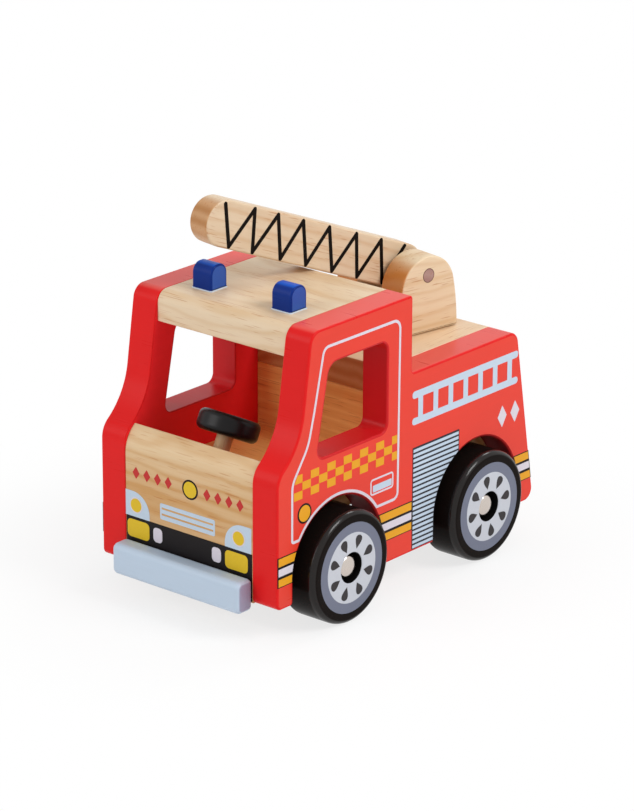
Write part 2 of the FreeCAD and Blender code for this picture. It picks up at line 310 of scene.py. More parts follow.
def make_piece(name, shape, materials, body="root", stands_for=(), slot=None, kinds=None,
               track=None):
    """Mesh object with outward faces. The signed volume, a sixth of the sum of
    a . (b x c) over its triangles, is negative where a shape came out inside out.
    kinds gives each face's material, and track each point's distance along a profile."""
    points, faces, smooth = shape
    mesh = bpy.data.meshes.new(name)
    mesh.from_pydata(to_frame(points).tolist(), [], faces)
    mesh.polygons.foreach_set("use_smooth", smooth)
    for material in materials:
        mesh.materials.append(material)
    if kinds is not None:
        mesh.polygons.foreach_set("material_index", np.asarray(kinds, np.int32))
    if track is not None:
        mesh.attributes.new("profile", "FLOAT", "POINT").data.foreach_set("value", track)
    work = bmesh.new()
    work.from_mesh(mesh)
    bmesh.ops.remove_doubles(work, verts=work.verts, dist=MERGE)
    bmesh.ops.dissolve_degenerate(work, edges=work.edges, dist=MERGE)
    volume = work.calc_volume(signed=True)
    if volume < 0:
        bmesh.ops.reverse_faces(work, faces=work.faces)
    open_edges = sum(not edge.is_manifold for edge in work.edges)
    work.to_mesh(mesh)
    work.free()
    mesh.set_sharp_from_angle(angle=SHARP)
    piece = bpy.data.objects.new(name, mesh)
    bpy.context.scene.collection.objects.link(piece)
    if stands_for:
        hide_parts(*stands_for)
    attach(piece, body)
    print("%-26s %6d faces %9.3f cm3, open edges %d"
          % (name, len(mesh.polygons), abs(volume) * 1e6, open_edges))


def placed(shape, way):
    """The shape with its points taken to their place in the drawing by a function."""
    return way(shape[0]), shape[1], shape[2]


def across(points):
    """Board drawn from the side: (y, z, x across the vehicle)."""
    return points[..., [2, 0, 1]]


def across_board(name, outline, x_span, arris, materials, **piece):
    """Piece that lies across the vehicle, from its outline seen from the side. Of two
    materials the first covers its two flats and the second what lies round them."""
    shape = board([outline], *x_span, (arris, arris))
    make_piece(name, placed(shape, across), materials, kinds=shape[2] * (len(materials) - 1),
               **piece)


# %% [markdown]
# ## Materials as expressions
# A material is a little sum: some noise, stretched, times a colour. In the node editor
# that is a web of boxes. The class below wraps one output, so that Python's own signs
# add the Math nodes and the sum can be read on one line.

# %% A socket that can be reckoned with
class Socket:
    """One output in a material, usable in Python expressions as if it were a number."""

    def __init__(self, tree, source):
        self.tree = tree
        self.source = source

    def node(self, kind, settings, inputs, output=0):
        """Adds a node in the same material: settings first, then values or links."""
        made = self.tree.nodes.new("ShaderNode" + kind)
        for name, value in settings.items():
            setattr(made, name, value)
        for name, value in inputs.items():
            if isinstance(value, Socket):
                self.tree.links.new(value.source, made.inputs[name])
            else:
                made.inputs[name].default_value = value
        return Socket(self.tree, made.outputs[output])

    def math(self, operation, *values):
        """One Math node on numbers or sockets."""
        return self.node("Math", {"operation": operation}, dict(enumerate(values)))

    def __add__(self, other):
        return self.math("ADD", self, other)

    def __sub__(self, other):
        return self.math("SUBTRACT", self, other)

    def __rsub__(self, other):
        return self.math("SUBTRACT", other, self)

    def __mul__(self, other):
        return self.math("MULTIPLY", self, other)

    def __pow__(self, other):
        return self.math("POWER", self, other)

    def __abs__(self):
        return self.math("ABSOLUTE", self)

    __radd__ = __add__
    __rmul__ = __mul__


def step_between(value, low, high):
    """0 below low, 1 above high, and a smooth S between them."""
    return value.node("MapRange", {"interpolation_type": "SMOOTHSTEP"},
                      {"Value": value, "From Min": low, "From Max": high})


def blend_colours(amount, first, second, way="MIX"):
    """Colour mix: first where amount is 0 and second where it is 1."""
    source = next(value for value in (amount, first, second) if isinstance(value, Socket))
    return source.node("Mix", {"data_type": "RGBA", "blend_type": way},
                       {0: amount, 6: first, 7: second}, output=2)


def shaded(tint, factor):
    """A colour with all of its light multiplied by one factor."""
    grey = factor.node("CombineColor", {}, {0: factor, 1: factor, 2: factor})
    return blend_colours(1.0, tint, grey, "MULTIPLY")


def scaled(vector, factor):
    """A vector drawn out or shrunk by a number."""
    return vector.node("VectorMath", {"operation": "SCALE"}, {0: vector, "Scale": factor})


def along_axis(vector, axis):
    """How far a vector reaches along a fixed direction: their dot product."""
    return vector.node("VectorMath", {"operation": "DOT_PRODUCT"}, {0: vector, 1: tuple(axis)},
                       output="Value")


def joined(x, y, z):
    """Three numbers as one vector."""
    source = next(value for value in (x, y, z) if isinstance(value, Socket))
    return source.node("CombineXYZ", {}, {0: x, 1: y, 2: z})


def noise(vector, detail=2.0, roughness=0.5):
    """Cloudy value from 0 to 1 that changes about once for each unit of the vector."""
    return vector.node("TexNoise", {}, {"Vector": vector, "Scale": 1.0, "Detail": detail,
                                        "Roughness": roughness})


print("a material is made of", Socket.__name__, "expressions")

# %% [markdown]
# ## Starting and ending a material
# Patterns are reckoned in millimetres of the toy itself, from Object coordinates, so a
# pattern stays on its piece when a wheel or the boom moves. Values that are the same
# all over a surface are set on the shader's own sockets.

# %% The two ends of a material
def colour(red, green, blue):
    """Screen colour, 0 to 255, as the linear colour that light is reckoned in."""
    screen = np.array([red, green, blue]) / 255
    linear = np.where(screen <= 0.04045, screen / 12.92, ((screen + 0.055) / 1.055) ** 2.4)
    return (*linear.tolist(), 1.0)


def new_material(name):
    """Empty material with its object coordinates in millimetres and object normal."""
    material = bpy.data.materials.new(name)
    material.use_nodes = True
    tree = material.node_tree
    tree.nodes.clear()
    coordinates = tree.nodes.new("ShaderNodeTexCoord")
    metres = Socket(tree, coordinates.outputs["Object"])
    return material, scaled(metres, 1 / MM), Socket(tree, coordinates.outputs["Normal"])


def close_material(material, varying, fixed, relief=None, relief_depth=0.05):
    """Principled shader: varying sockets are linked and fixed ones set on the shader.
    Relief is a height from 0 to 1 that stands for relief_depth millimetres."""
    tree = material.node_tree
    shader = tree.nodes.new("ShaderNodeBsdfPrincipled")
    for name, value in fixed.items():
        shader.inputs[name].default_value = value
    for name, value in varying.items():
        tree.links.new(value.source, shader.inputs[name])
    if relief is not None:
        bump = relief.node("Bump", {}, {"Height": relief, "Distance": relief_depth * MM,
                                        "Strength": 1.0}, output="Normal")
        tree.links.new(bump.source, shader.inputs["Normal"])
    output = tree.nodes.new("ShaderNodeOutputMaterial")
    tree.links.new(shader.outputs["BSDF"], output.inputs["Surface"])
    return material


print("signal red in linear light:", tuple(round(v, 3) for v in colour(220, 34, 30)))

# %% [markdown]
# ## Enamel on wood
# The red, blue and grey-blue pieces are brushed or dipped. The paint is even but not
# dead flat: it clouds a little, the grain under it still shows as faint ridges, and tiny
# dust specks lie in it. Clouding goes into the colour, and ridges into the relief. The
# sawn edges drink more of the paint than the faces, so they get a deeper, duller coat,
# which is partly painted shade as well. The rest is painted light and shade: the reveals
# round the windows and the walls of the arches are darker as painted shade, the panels'
# inner faces lighter as painted bounce light, the tops of edges paler as a painted sheen,
# and the lamps and the bumper have lit and shaded tones of their paint.

# %% Enamel
GRAIN_ALONG = 0.05          # a fibre is some twenty times as long as it is wide


def grain_place(place, along, seed=0.0):
    """The point turned to (along the grain, across, across), in millimetres. The three
    directions are square to each other."""
    along = unit(along)
    side = unit(np.cross(along, [0.05, 0.1, 1.0] if abs(along[2]) < 0.9 else [1.0, 0, 0]))
    up = np.cross(side, along)
    return (along_axis(place, along) + seed, along_axis(place, side) + seed,
            along_axis(place, up))


def enamel(name, paint, along, second=None, towards=(0, 0, 1), gloss=0.36, shine=0.36,
           clouding=0.10, ridges=0.016):
    """Paint over wood: colour times cloudy noise, and relief from stretched noise. Where
    the surface's own normal turns along a direction the paint runs into a second tone,
    which is painted light and shade for the faces that look that way."""
    material, place, normal = new_material(name)
    u, v, w = grain_place(place, along)
    clouds = noise(joined(u * 0.035, v * 0.08, w * 0.08), detail=3)
    streaks = noise(joined(u * GRAIN_ALONG, v * 1.1, w * 1.1), detail=3, roughness=0.6)
    dust = step_between(noise(scaled(place, 1.3)), 0.70, 0.78)
    shade = 1 - clouding / 2 + clouds * clouding + (streaks - 0.5) * 0.06 - dust * 0.03
    rough = gloss + (clouds - 0.5) * 0.12 + (streaks - 0.5) * 0.10
    relief = streaks * 0.8 + dust * 0.5
    turned = step_between(abs(along_axis(normal, towards)), 0.8, 0.98)
    coat = blend_colours(turned, colour(*paint), colour(*(second or paint)))
    return close_material(material, {"Base Color": shaded(coat, shade),
                                     "Roughness": rough},
                          {"Specular IOR Level": shine}, relief, ridges)


red_sides = enamel("signal_red_enamel", (224, 54, 35), (0, 1, 0.03), gloss=0.32, shine=0.26)
# Edges: a deeper red that is partly painted shade, and faces that look up or down are painted a
# paler pink, a painted sheen of the sky.
red_edges_with_painted_shade_and_sheen = enamel("red_enamel_edges_painted_shade_and_sheen", (222, 26, 26), (1, 0, 0), second=(229, 82, 74),
                   gloss=0.3, shine=0.13)
# Inner faces: painted lighter, as painted bounce light inside the body.
red_inside_painted_bounce = enamel("red_enamel_inside_painted_bounce", (246, 42, 48), (0, 1, 0.03), gloss=0.34, shine=0.08)
# Window reveals: painted a darker red, as painted shade.
red_reveals_painted_shade = enamel("red_enamel_round_windows_painted_shade", (204, 28, 33), (1, 0, 0), gloss=0.34, shine=0.14)
# Arch walls: painted a dark red, as painted shade inside the arches.
red_arches_painted_shade = enamel("red_enamel_in_arches_painted_shade", (150, 24, 26), (1, 0, 0), gloss=0.5, shine=0.04)
# Lamps: one blue in lit and shaded copies: the ends painted lighter as painted light, the fronts
# and backs darker as painted shade, the tops lighter again as painted light.
blue_ends_painted_light = enamel("blue_enamel_ends_painted_light", (42, 84, 168), (0, 1, 0), gloss=0.32, shine=0.22)
blue_lamps_painted_shade_lit_tops = enamel("lamp_blue_painted_shade_lit_tops", (12, 46, 128), (1, 0, 0), second=(0, 80, 190),
                    gloss=0.3, shine=0.10)
# Bumper: its ends, which look along the toy's width, are painted darker and purplish as painted
# shade.
bumper_grey_painted_shade_ends = enamel("pale_grey_blue_painted_shade_ends", (187, 204, 222), (1, 0, 0), second=(150, 146, 170),
                     towards=(1, 0, 0), gloss=0.4, clouding=0.06)
print("enamels made")

# %% [markdown]
# ## Bare lacquered wood
# The boards between the panels, the turret and the boom are pale, close-grained wood.
# Seen along a face it shows faint growth bands, fine fibres and short brown pores that
# run with the grain. Where a cut crosses the grain the wood is darker and banded. A
# picture of wood would repeat or run the wrong way round a corner. Here the wood is a
# solid: growth rings about a far axis, cut by whatever surface the piece has.

# %% Wood as a solid
RING_WIDTH = 4.6            # millimetres between two growth rings


def timber(name, along, seed, pale=(232, 203, 160), honey=(206, 160, 104),
           end=(176, 116, 60), end_light=(208, 160, 112), pith=(38.0, 26.0), tone_gradient=None,
           gloss=0.42):
    """Rings are a sine of the distance from the pith, fibres and pores are noise drawn
    out along the grain, and end grain shows where the surface's own normal runs with it.
    tone_gradient is (direction, start, end): along it the face runs into its honey tone; on the
    cab's wood that is painted light, lighter towards the bottom, and on the nose the wood gets
    darker towards the bottom."""
    material, place, normal = new_material(name)
    u, v, w = grain_place(place, along, seed)
    wander = noise(joined(u * 0.02, v * 0.05, w * 0.05), detail=2)
    across_v, across_w = v - pith[0] + wander * 9, w + pith[1] + wander * 6
    ring = (across_v ** 2 + across_w ** 2) ** 0.5
    ring_turn = ring * (2 * math.pi / RING_WIDTH)
    late_wood = ring_turn.math("SINE", ring_turn) * 0.5 + 0.5
    bands = noise(joined(u * 0.012, v * 0.16, w * 0.16), detail=3)
    fibres = noise(joined(u * 0.045, v * 1.5, w * 1.5), detail=4, roughness=0.65)
    pore_field = noise(joined(u * 0.10, v * 1.9, w * 1.9), detail=1)
    pores = step_between(pore_field, 0.61, 0.72) * step_between(bands, 0.3, 0.55)
    end_grain = step_between(abs(along_axis(normal, unit(along))), 0.35, 0.85)
    warmth = bands * 0.9 + late_wood ** 3 * 0.40 + fibres * 0.55 - 0.63
    if tone_gradient:
        warmth = warmth + step_between(along_axis(place, tone_gradient[0]), *tone_gradient[1:]) * 0.65
    face = blend_colours(warmth.math("MAXIMUM", warmth, 0.0), colour(*pale), colour(*honey))
    end_tone = blend_colours(late_wood * 0.75, colour(*end), colour(*end_light))
    wood = blend_colours(end_grain, face, end_tone)
    wood = blend_colours(pores * 0.5, wood, colour(176, 102, 44))
    wood = shaded(wood, 0.92 + fibres * 0.10)
    rough = gloss + (fibres - 0.5) * 0.18 + pores * 0.2
    relief = fibres * 0.6 - pores * 0.8
    return close_material(material, {"Base Color": wood, "Roughness": rough},
                          {"Specular IOR Level": 0.36}, relief, 0.02)


cross_grain = (1, 0, 0)
lengthwise = (0, 1, 0)
downwards = (0, 0, -1)
nose_wood = timber("nose_wood", cross_grain, 3.0, pale=(228, 199, 158), honey=(202, 152, 92),
                   tone_gradient=(downwards, -68, -42))
roof_wood = timber("roof_wood", cross_grain, 61.0, pale=(230, 206, 174), honey=(212, 174, 128))
# The cab's wall and floor are painted orange as painted red bounce light from the panels, and
# lighter towards the bottom as painted light from the windscreen.
cab_wood_painted_bounce = timber("cab_wood_painted_red_bounce", cross_grain, 17.0, pale=(228, 154, 80),
                   honey=(250, 196, 118), tone_gradient=(downwards, -72, -44))
deck_wood = timber("deck_wood", lengthwise, 29.0, pale=(236, 209, 176), honey=(220, 180, 132),
                   end=(180, 106, 52), end_light=(200, 138, 86))
column_wood = timber("column_wood", (0, 0.45, 0.89), 43.0, pale=(214, 182, 140))
print("boards of wood made")

# %% [markdown]
# ## Inks, lacquer and metal
# The printed lines are flat ink, a shade duller than the paint under it. The wheels are
# lacquered black on the lathe, which leaves fine rings, and their outer shoulder is
# polished by handling. The axle caps are pressed from bright steel.

# %% Inks, lacquer and metal
def ink(name, tint, gloss=0.45, shine=0.25):
    """Printed ink: a nearly even colour with fine mottling."""
    material, place, _ = new_material(name)
    mottle = noise(place, detail=3)
    printed = shaded(colour(*tint), 0.96 + mottle * 0.08)
    rough = gloss + (mottle - 0.5) * 0.1
    return close_material(material, {"Base Color": printed, "Roughness": rough},
                          {"Specular IOR Level": shine}, mottle, 0.01)


def lathe_finish(name, tint, gloss, shine, metal=0.0, depth=0.012, polished=None):
    """Finish with the fine rings of a lathe, from noise of the distance along the profile.
    polished is the range of millimetres from the vehicle's middle with a clear coat."""
    material, place, _ = new_material(name)
    profile = place.node("Attribute", {"attribute_name": "profile"}, {}, output="Fac")
    rings = noise(joined(profile * 3.0, 0.0, 0.0), detail=3, roughness=0.7)
    clouds = noise(scaled(place, 0.12))
    face = shaded(colour(*tint), 0.92 + clouds * 0.10 + rings * 0.06)
    rough = gloss + (clouds - 0.5) * 0.10 + (rings - 0.5) * 0.08
    varying = {"Base Color": face, "Roughness": rough}
    if polished:
        away = abs(along_axis(place, (1, 0, 0)))
        inside = step_between(away, polished[0] - 0.5, polished[0] + 0.5)
        outside = step_between(away, polished[1] - 0.2, polished[1])
        varying["Coat Weight"] = inside * (1 - outside) * 0.5
    return close_material(material, varying, {"Specular IOR Level": shine, "Metallic": metal,
                                              "Coat Roughness": 0.16}, rings, depth)


print("inks and lacquers can be mixed")

# %% [markdown]
# ## The two side panels
# The panels give the toy its outline: a bonnet that slopes up to the windscreen pillar,
# the flat cab roof, a step down to the deck and a sloping tail, with a window and two
# wheel arches. The outline repeats the drawing's own sizes. The outer arris is sanded
# wider than the inner one, which meets the boards. The outer flat, the sawn edge, the
# inner flat, the windows' reveals and the arches' walls each take a red of their own.

# %% Side panels
front_foot_round, arch_foot_round = 2.5, 1.5
bonnet_top, scuttle = (51.0, 9.0), (12.75, 61.75, 30.0)
roof_front_round, cab_rear_round, step_round = 5.5, 1.5, 1.5
tail_foot_y, tail_slope = 153.8, math.tan(math.radians(9.74))
tail_top_round, tail_foot_round = 5.0, 4.5
arch_gap, arch_rise = 3.4, 0.8
window_sill_z, window_head_z, window_slope = 53.0, 88.3, math.tan(math.radians(11.6))
window_front_y, window_rear_y, window_rounds = 22.1, 62.3, [3.5, 3.5, 3.5, 5.5]
outer_arris, inner_arris = 0.8, 0.4


def tail_line(z, depth=0.0):
    """The sloping rear at height z, or a face that lies a depth inside it."""
    return tail_foot_y - tail_slope * z - depth * math.hypot(1, tail_slope)


def panel_outline():
    """Side panel: the corners of its straight cuts, with the arches along its foot."""
    corners = [(0, 0, front_foot_round), (0, *bonnet_top), scuttle,
               (roof_front_y, roof_z, roof_front_round), (cab_rear_y, roof_z, cab_rear_round),
               (cab_rear_y, deck_z, step_round), (tail_line(deck_z), deck_z, tail_top_round),
               (tail_foot_y, 0, tail_foot_round)]
    reach = wheel_radius + arch_gap
    for place in (axle_places["rear"], axle_places["front"]):
        head = place[2] + arch_rise + reach
        corners += [(place[1] + reach, 0, arch_foot_round), (place[1] + reach, head, reach),
                    (place[1] - reach, head, reach), (place[1] - reach, 0, arch_foot_round)]
    return rounded(corners)


window_head_y = window_front_y + window_slope * (window_head_z - window_sill_z)
window_outline = quad(((window_front_y, window_head_y), window_rear_y),
                      (window_sill_z, window_head_z), window_rounds)
panel_loops = [panel_outline(), window_outline]
panel = board(panel_loops, inner_x, outer_x, (inner_arris, outer_arris))
# The inner flat is painted lighter as painted bounce light, and the reveals and the arches' walls
# darker as painted shade.
panel_paints = [red_sides, red_edges_with_painted_shade_and_sheen, red_inside_painted_bounce, red_reveals_painted_shade, red_arches_painted_shade]
outer_flat, edge, inner_flat_painted_bounce, reveal_painted_shade, arch_wall_painted_shade = range(len(panel_paints))
edge_faces = int(panel[2].sum())
flat_faces = (len(panel[1]) - edge_faces) // 2
window_faces = edge_faces * len(panel_loops[1]) // sum(len(loop) for loop in panel_loops)
panel_kinds = np.repeat([edge, reveal_painted_shade, inner_flat_painted_bounce, outer_flat],
                        [edge_faces - window_faces, window_faces, flat_faces, flat_faces])
face_middle = panel[0][np.array(panel[1][:edge_faces])].mean(1)
foot_margin = 0.3           # the panel's underside keeps the paint of its edge
# Faces within an arch take the dark red that is painted shade there.
for _, axle_y, axle_z in axle_places.values():
    half_height = (axle_z + arch_rise) / 2
    from_arch = np.abs(face_middle[:, :2] - [axle_y, half_height])
    arch_room = wheel_radius + arch_gap + outer_arris + np.array([0, half_height])
    in_arch = (from_arch < arch_room).all(1) & (face_middle[:, 1] > foot_margin)
    panel_kinds[:edge_faces][in_arch] = arch_wall_painted_shade
for side_name, side in sides.items():
    make_piece("painted_side_" + side_name,
               placed(panel, lambda points: across(points) * [side, 1, 1]), panel_paints,
               stands_for=["side_panel_" + side_name], slot="red_paint", kinds=panel_kinds)

# %% [markdown]
# ## The boards between the panels
# Six boards close the toy between its panels, all drawn from the side and as wide as
# the room between them. Where a board meets a panel both arrises are broken, and that
# leaves the fine dark groove that tells the pieces apart.

# %% Boards
board_round, joint_arris, roof_lip_round, nose_bend_round = 0.6, 0.25, 5.0, 12.5
board_thickness, nose_thickness = deck_z - under_deck_z, nose_back_y - nose_y
nose_bend_z = nose_top_z - nose_thickness * math.tan(math.radians(36))
between_panels = (-inner_x, inner_x)
deck_heights = np.array([under_deck_z, deck_z])
tail_heights = np.array([0, under_deck_z])
boards = {
    "nose_plank": ("nose_board", nose_wood, rounded([
        (nose_y, 0, board_round), (nose_y, nose_bend_z, nose_bend_round),
        (nose_back_y, nose_top_z, board_round), (nose_back_y, 0, board_round)])),
    "roof_plank": ("roof_board", roof_wood, quad(
        (roof_front_y, cab_rear_y), (roof_under_z, roof_z),
        [board_round, board_round, cab_rear_round, roof_lip_round])),
    "floor_plank": ("chassis_board", cab_wood_painted_bounce, rounded([
        (nose_back_y, floor_under_z, board_round), (nose_back_y, floor_z, board_round),
        (tail_line(floor_z, board_thickness), floor_z, board_round),
        (tail_line(floor_under_z, board_thickness), floor_under_z, board_round)])),
    "cab_wall_plank": ("cab_wall", cab_wood_painted_bounce, quad(
        (wall_y, wall_y + board_thickness), (floor_z, under_deck_z), [0, 0, 0, board_round])),
    "deck_plank": ("deck_board", deck_wood, quad(
        (wall_y, tail_line(deck_heights)), deck_heights,
        [board_round, board_round, tail_top_round, board_round])),
    "tail_plank": ("tail_board", roof_wood, quad(
        (tail_line(tail_heights, board_thickness), tail_line(tail_heights)), tail_heights,
        [board_round, tail_foot_round, board_round, board_round]))}
for name, (node, wood, outline) in boards.items():
    across_board(name, outline, between_panels, joint_arris, [wood], stands_for=[node],
                 slot="natural_wood")

# %% [markdown]
# ## Bumper and warning lamps
# The bumper is a bar with all of its edges well rounded. The two blue lamps are small
# blocks with a round top, glued to the roof: a pale line of glue shows at their foot.

# %% Bumper, lamps and their glue
bumper_rounds, bumper_arris = [2.5, 2.0, 2.0, 2.5], 1.85
lamp_rounds, lamp_arris = [0.2, 0.2, 4.0, 4.0], 0.7
bead_rounds, bead_arris = [0.1, 0.1, 0.3, 0.3], 0.1
bead_length_margin, bead_width_margin, bead_height = 0.1, 0.12, 0.5
low, high = drawn_box("bumper")
bar = quad((low[1], high[1]), (low[2], high[2]), bumper_rounds)
across_board("bumper_bar", bar, between_panels, bumper_arris, [bumper_grey_painted_shade_ends],
             stands_for=["bumper"], slot="grey_paint")
dried_glue = ink("dried_glue", (206, 220, 238), gloss=0.35)
for side_name in sides:
    low, high = drawn_box("beacon_" + side_name)
    block = quad((low[1], high[1]), (low[2], high[2]), lamp_rounds)
    across_board("lamp_" + side_name, block, (low[0], high[0]), lamp_arris,
                 [blue_ends_painted_light, blue_lamps_painted_shade_lit_tops], stands_for=["beacon_" + side_name],
                 slot="blue_paint")
    bead = quad((low[1] - bead_length_margin, high[1] + bead_length_margin),
                     (low[2] - bead_rounds[0], low[2] + bead_height), bead_rounds)
    across_board("lamp_glue_" + side_name, bead,
                 (low[0] - bead_width_margin, high[0] + bead_width_margin), bead_arris,
                 [dried_glue])

# %% [markdown]
# ## Steering wheel and column
# A thick black disc sits on a bare dowel that leans back from the floor. Both are
# profiles turned about the raked axis, which the column's drawing gives.

# %% Steering
steering_centre = np.array([0, 22.8, 55.8])
steering_rake = math.radians(27)
steering_axis = np.array([0, math.sin(steering_rake), math.cos(steering_rake)])
disc_radius, disc_half, disc_round, column_radius = 11.9, 4.05, 2.4, 3.2
column_set_in, disc_set_on = 6.0, 0.5       # the dowel's depth in the floor and in the disc
column_foot = (floor_z - steering_centre[2]) / steering_axis[2] - column_set_in
steering_black = lathe_finish("steering_black_lacquer", (17, 15, 16), 0.34, 0.2)
disc_profile = quad((-disc_half, disc_half), (0, disc_radius),
                         [0, 0, disc_round, disc_round])
make_piece("steering_disc", lathed(disc_profile, steering_centre, steering_axis),
           [steering_black], stands_for=["steering_wheel"], slot="black_gloss",
           track=track_of(disc_profile))
column_head = disc_set_on - disc_half
dowel_profile = np.array([(column_foot, 0), (column_head, 0), (column_head, column_radius),
                          (column_foot, column_radius)])
make_piece("steering_dowel", lathed(dowel_profile, steering_centre, steering_axis, 48),
           [column_wood], stands_for=["steering_column"], slot="natural_wood")

# %% [markdown]
# ## Wheels
# A wheel is one turned disc. Its face is printed: a silver disc and a grey ring round
# the sunk mouth of the hub, with eight dark drops between them. The rings of the print
# are rings of the profile too, so each face of the mesh knows its own finish, and the
# edge between two of them stays sharp at any size.

# %% Wheel finishes and profile
wheel_black = lathe_finish("wheel_black_lacquer", (22, 17, 15), 0.24, 0.03,
                           polished=(wheel_outer_x - 2.4, wheel_outer_x - 0.1))
mouth_black = lathe_finish("hub_mouth_black", (9, 8, 8), 0.6, 0.08)
silver_print = ink("wheel_silver_print", (192, 196, 204), gloss=0.42)
grey_print = ink("wheel_grey_print", (108, 113, 131), gloss=0.42)
drop_print = ink("wheel_drop_print", (46, 42, 44), gloss=0.5)
bore_radius, mouth_radius, mouth_depth = 2.06, 6.0, 5.5
silver_radius, grey_radius = 13.7, 17.6
tread_round, inner_round, mouth_round = 2.3, 0.8, 0.3
hub_floor_x = wheel_outer_x - mouth_depth
wheel_profile = rounded([(wheel_inner_x, bore_radius, 0), (hub_floor_x, bore_radius, 0),
                         (hub_floor_x, mouth_radius, 0),
                         (wheel_outer_x, mouth_radius, mouth_round),
                         (wheel_outer_x, silver_radius, 0), (wheel_outer_x, grey_radius, 0),
                         (wheel_outer_x, wheel_radius, tread_round),
                         (wheel_inner_x, wheel_radius, inner_round)])
side_middle = (wheel_profile + np.roll(wheel_profile, -1, 0)) / 2
print_skin, hair = 0.29, 0.01       # how far under the face's flat a side still counts to it
on_face = side_middle[:, 0] > wheel_outer_x - print_skin
in_mouth = (side_middle[:, 1] < mouth_radius + hair) & (side_middle[:, 0] > hub_floor_x - hair)
ring_kind = np.select([in_mouth, on_face & (side_middle[:, 1] < silver_radius),
                       on_face & (side_middle[:, 1] < grey_radius)], [3, 1, 2], 0)
print("wheel profile:", len(wheel_profile), "points, printed sides:", int((ring_kind > 0).sum()))

# %% Wheels, drops and caps
drop_start, drop_end, drop_width = 7.3, 12.7, 2.6
drops_on_wheel, print_depth = 8, 0.06
first_drop = {"front": 23.7, "rear": 8.7}
cap_radius, cap_height, cap_wall = 4.8, 4.6, 2.3
dome = np.linspace(0, math.pi / 2, 14)
cap_profile = np.vstack([[(0, 0), (0, cap_radius), (cap_wall, cap_radius)],
                         np.stack([cap_wall + (cap_height - cap_wall) * np.sin(dome),
                                   cap_radius * np.cos(dome)], 1)[1:]])
bright_steel = lathe_finish("bright_steel_cap", (206, 196, 188), 0.16, 0.5, metal=1.0,
                            depth=0.004)
axle_steel = lathe_finish("axle_steel", (150, 150, 155), 0.35, 0.5, metal=1.0, depth=0.004)


def drop():
    """Teardrop with its point inwards: a = middle - half cos t and b = width sin t
    sin(t / 2) ^ 1.5, which is pointed at t = 0 and round at t = pi."""
    t = np.linspace(0, 2 * math.pi, 36, endpoint=False)
    middle, half = (drop_start + drop_end) / 2, (drop_end - drop_start) / 2
    return np.stack([middle - half * np.cos(t),
                     drop_width * np.sin(t) * np.abs(np.sin(t / 2)) ** 1.5], 1)


def turned_outline(outline, degrees):
    """Outline turned about the origin: (a cos - b sin, a sin + b cos)."""
    angle = math.radians(degrees)
    return outline @ np.array([[math.cos(angle), math.sin(angle)],
                               [-math.sin(angle), math.cos(angle)]])


def on_wheel_face(points, side, axle):
    """Print on a wheel: (y, z) from the axle, and the depth out of the face."""
    return np.stack([side * (wheel_outer_x - print_depth + points[..., 2]),
                     points[..., 0] + axle[1], points[..., 1] + axle[2]], -1)


for row, axle in axle_places.items():
    for side_name, side in sides.items():
        place = row + "_" + side_name
        hub = np.array([0, axle[1], axle[2]])
        seated = wheel_profile - [print_depth, 0] * (wheel_profile[:, :1] > hub_floor_x + 1)
        make_piece("turned_wheel_" + place, lathed(seated, hub, (side, 0, 0)),
                   [wheel_black, silver_print, grey_print, mouth_black], "wheel_" + place,
                   ["wheel_" + place], "black_lacquer",
                   np.repeat(ring_kind, TURN_STEPS), track_of(seated))
        drop_turns = first_drop[row] + np.arange(drops_on_wheel) * 360 / drops_on_wheel
        drops = together([board([turned_outline(drop(), turn)], -print_depth, print_depth)
                          for turn in drop_turns])
        make_piece("wheel_drops_" + place,
                   placed(drops, lambda points: on_wheel_face(points, side, axle)),
                   [drop_print], "wheel_" + place)
        cap_base = drawn_box("axle_cap_" + place)[side == -1][0]
        make_piece("steel_cap_" + place,
                   lathed(cap_profile, hub + [cap_base, 0, 0], (side, 0, 0), 64),
                   [bright_steel], stands_for=["axle_cap_" + place], slot="bright_steel",
                   track=track_of(cap_profile, 64))

# %% [markdown]
# ## Turret and boom
# The turret is a block between two cheeks, turned a little to one side, and the boom is
# a bar with round ends on a dowel through both cheeks. They are drawn square to the
# turret's own axis and then carried to their place by turning, so that the same numbers
# would serve with the boom at any angle.

# %% The turret's own drawing
turret_place, turret_turn = np.array([0, 120.3, deck_z]), math.radians(-9.8)
slot_half, lift, block_height, block_round = 7.05, 0.3, 12.0, 0.5
ear_foot_half, ear_head_radius, ear_foot_round, turret_height = 15.2, 13.4, 0.6, 30.7
pin_z, pin_radius, pin_round, pin_ring_width = 23.1, 2.9, 0.12, 0.3
turret_half = slot_half + board_thickness
boom_half, boom_thickness, boom_reach, boom_rake = 9.0, 10.0, 103.4, math.radians(21.33)
swivel = np.array(Matrix.Rotation(turret_turn, 3, "Z"))
raking = np.array(Matrix.Rotation(-boom_rake, 3, "X"))


def on_turret(points):
    """Turret drawing to toy drawing: across, turned about the swivel axis, moved there."""
    return across(points) @ swivel.T + turret_place


def on_boom(points):
    """Boom drawing, level with the pin at its origin, raked up and set in the turret."""
    raked = across(points) @ raking.T + [0, 0, pin_z]
    return raked @ swivel.T + turret_place


